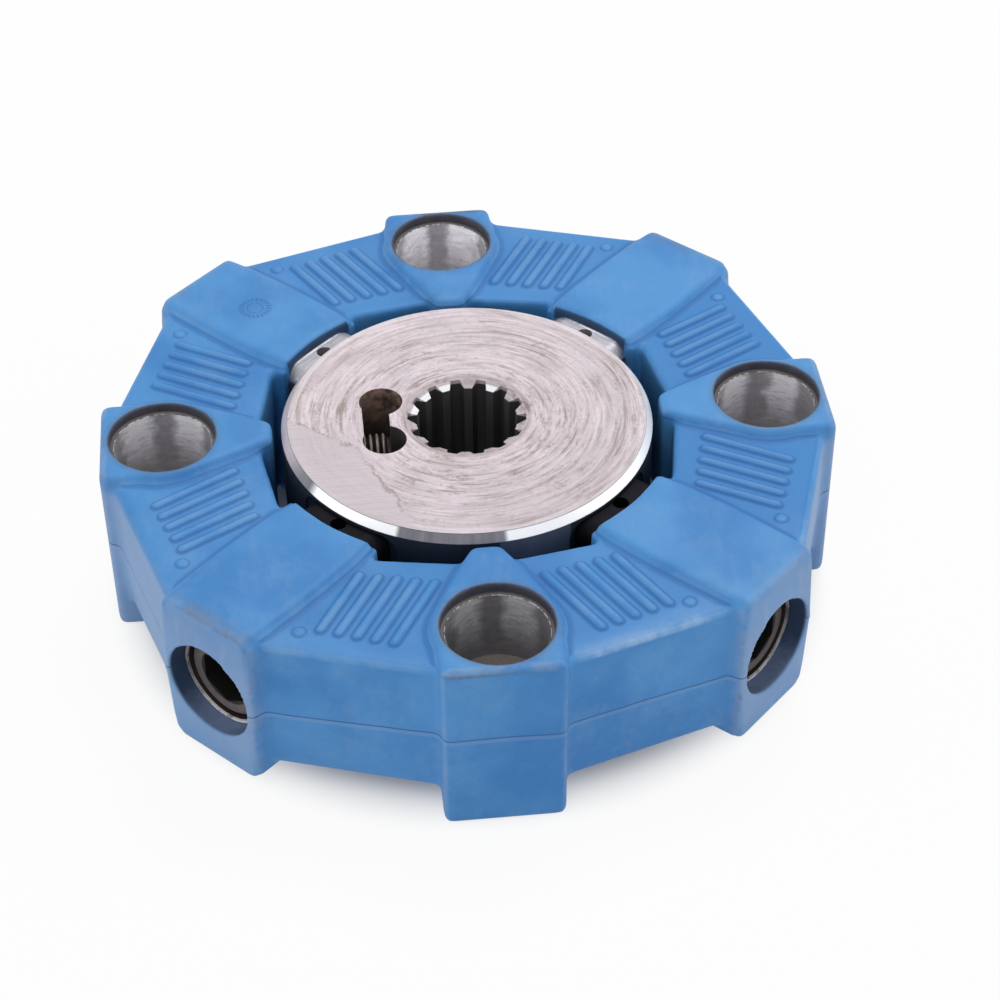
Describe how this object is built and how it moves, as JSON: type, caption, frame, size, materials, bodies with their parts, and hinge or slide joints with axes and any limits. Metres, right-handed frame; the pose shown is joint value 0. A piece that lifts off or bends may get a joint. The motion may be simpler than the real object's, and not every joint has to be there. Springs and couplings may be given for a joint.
{
  "type": "hydraulic pump coupling",
  "caption": "Round torsionally soft shaft coupling: a blue rubber element with bonded metal inserts, bolted to a flange from above and screwed to a splined clamping hub.",
  "frame": {"origin": "on the shaft axis, in the plane of the axial bosses that bears on the drive flange", "axes": "+Z along the shaft, away from the flange; +X through the first axial boss; the clamping slot lies on the side of -X"},
  "size_m": [0.1998, 0.1998, 0.054],
  "materials": {
    "rubber": "satin",
    "insert": "turned",
    "hub": "turned",
    "screw": "black oxide"
  },
  "bodies": {
    "root": {"rubber_element": "rubber", "axial_sleeve_1": "insert", "axial_sleeve_2": "insert", "axial_sleeve_3": "insert", "axial_sleeve_4": "insert", "radial_insert_1": "insert", "radial_insert_2": "insert", "radial_insert_3": "insert", "radial_insert_4": "insert", "radial_screw_1": "screw", "radial_screw_2": "screw", "radial_screw_3": "screw", "radial_screw_4": "screw", "hub": "hub", "clamp_screw": "screw"}
  },
  "joints": []
}
